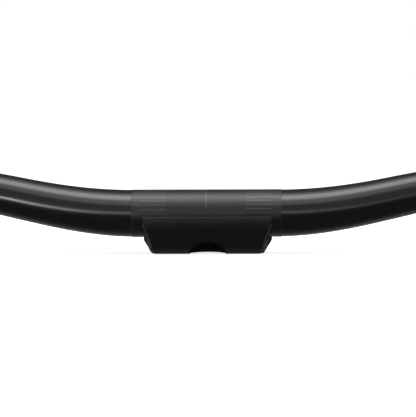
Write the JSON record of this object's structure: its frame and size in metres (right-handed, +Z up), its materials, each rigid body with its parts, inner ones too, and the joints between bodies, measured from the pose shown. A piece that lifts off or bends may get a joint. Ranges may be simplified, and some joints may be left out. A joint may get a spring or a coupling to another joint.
{
  "type": "riser handlebar",
  "caption": "Bent, tapered riser handlebar lying in the seat of a mounting block, with a cap screw in a pocket at each end of the block.",
  "frame": {"origin": "middle of the bar's axis, halfway along the clamp zone", "axes": "+X along the bar, -Y towards the front of the block, with the grips swept back towards +Y, +Z up"},
  "size_m": [0.7834, 0.0668, 0.0793],
  "materials": {
    "bar": "satin black anodised tube, with a bead-blasted clamp zone and laser-marked graduations",
    "block": "matte black anodised",
    "screw": "black oxide, knurled head"
  },
  "bodies": {
    "root": {"handlebar": "bar", "mount_block": "block", "cap_screw_left": "screw", "cap_screw_right": "screw"}
  },
  "joints": []
}
